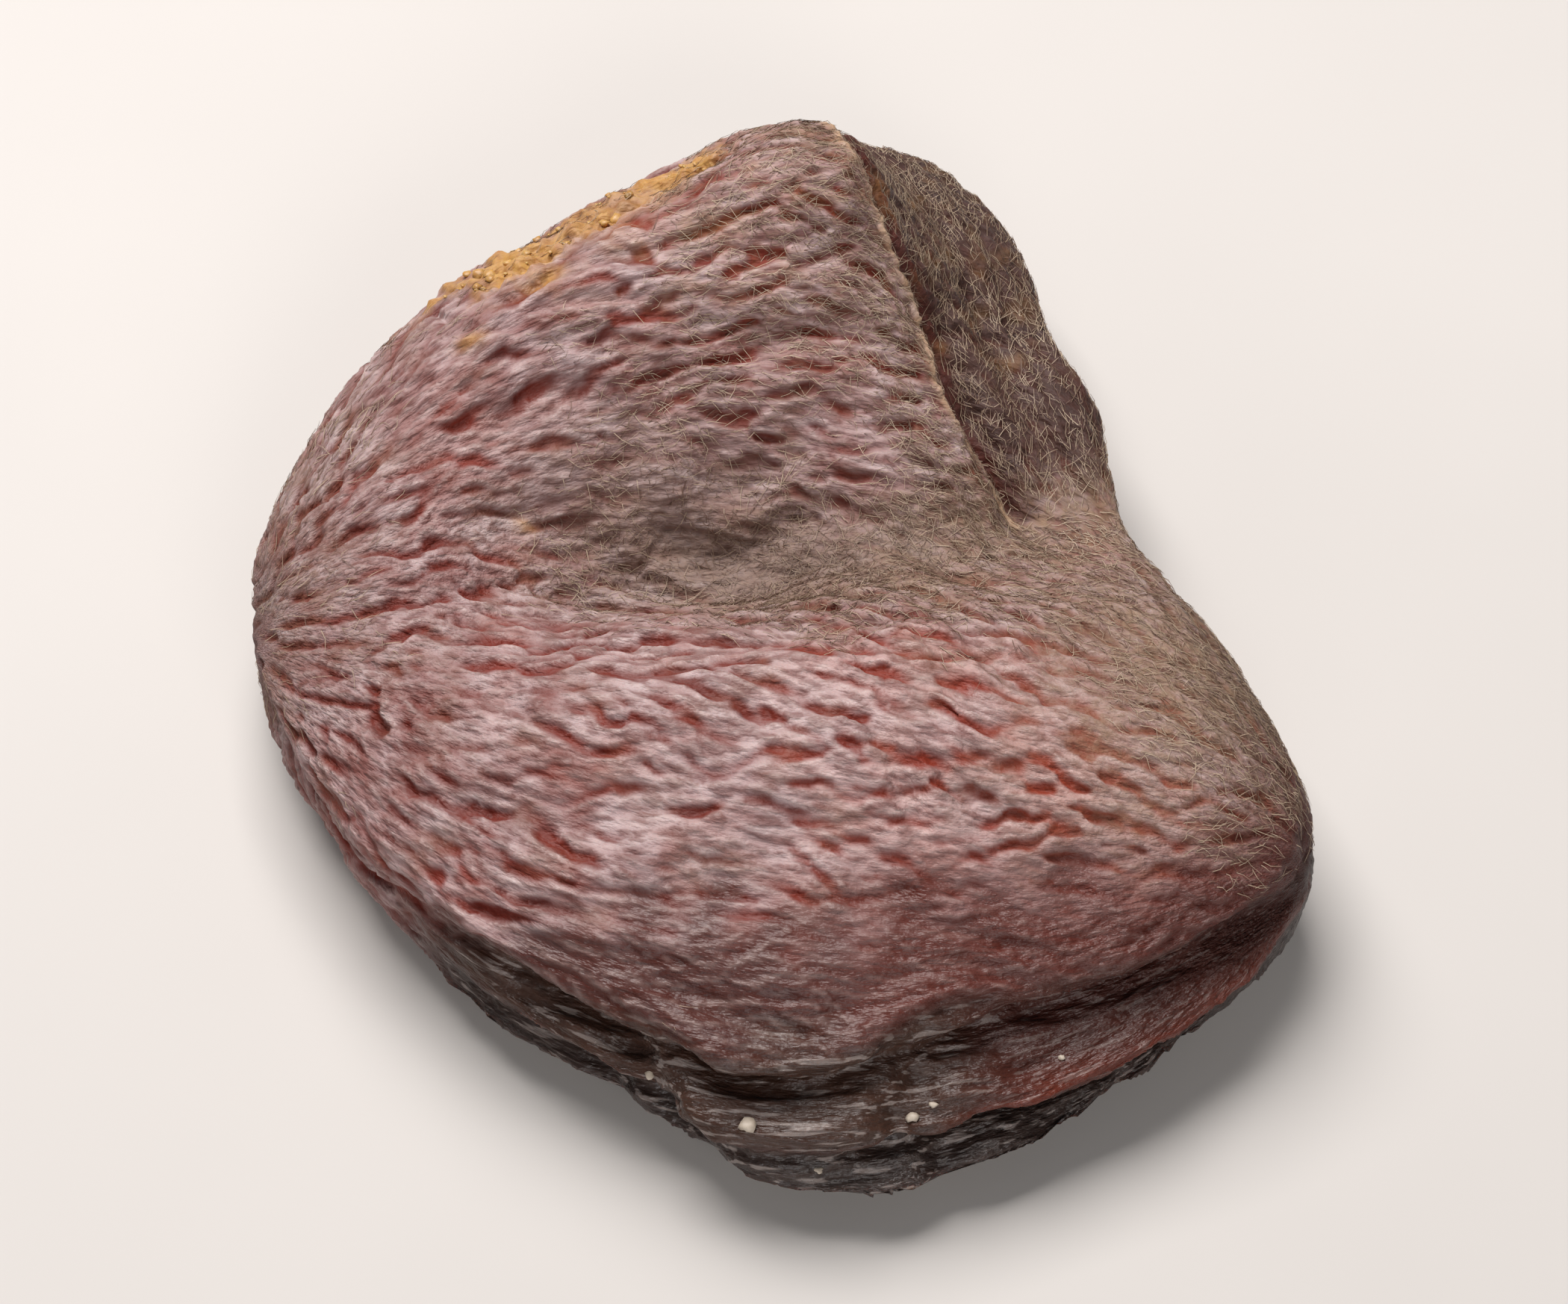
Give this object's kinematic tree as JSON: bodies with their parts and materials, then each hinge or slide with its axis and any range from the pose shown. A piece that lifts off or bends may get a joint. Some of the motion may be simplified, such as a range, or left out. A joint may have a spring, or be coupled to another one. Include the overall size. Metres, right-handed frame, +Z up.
{
  "type": "dried apricot",
  "caption": "Whole pitted dried apricot: a flattened, wrinkled fruit with a hollow on top, a creased suture and folded lips along its front.",
  "frame": {"origin": "centre of the fruit's outline on the surface that it lies on", "axes": "+Z up from its flatter side, +Y from the mouth between its two halves to its top lobe, +X towards its pinched right-hand end"},
  "size_m": [0.0376, 0.0426, 0.0121],
  "materials": {
    "skin": "wrinkled, dull shine with short down"
  },
  "bodies": {
    "root": {"dried_apricot": "skin"}
  },
  "joints": []
}
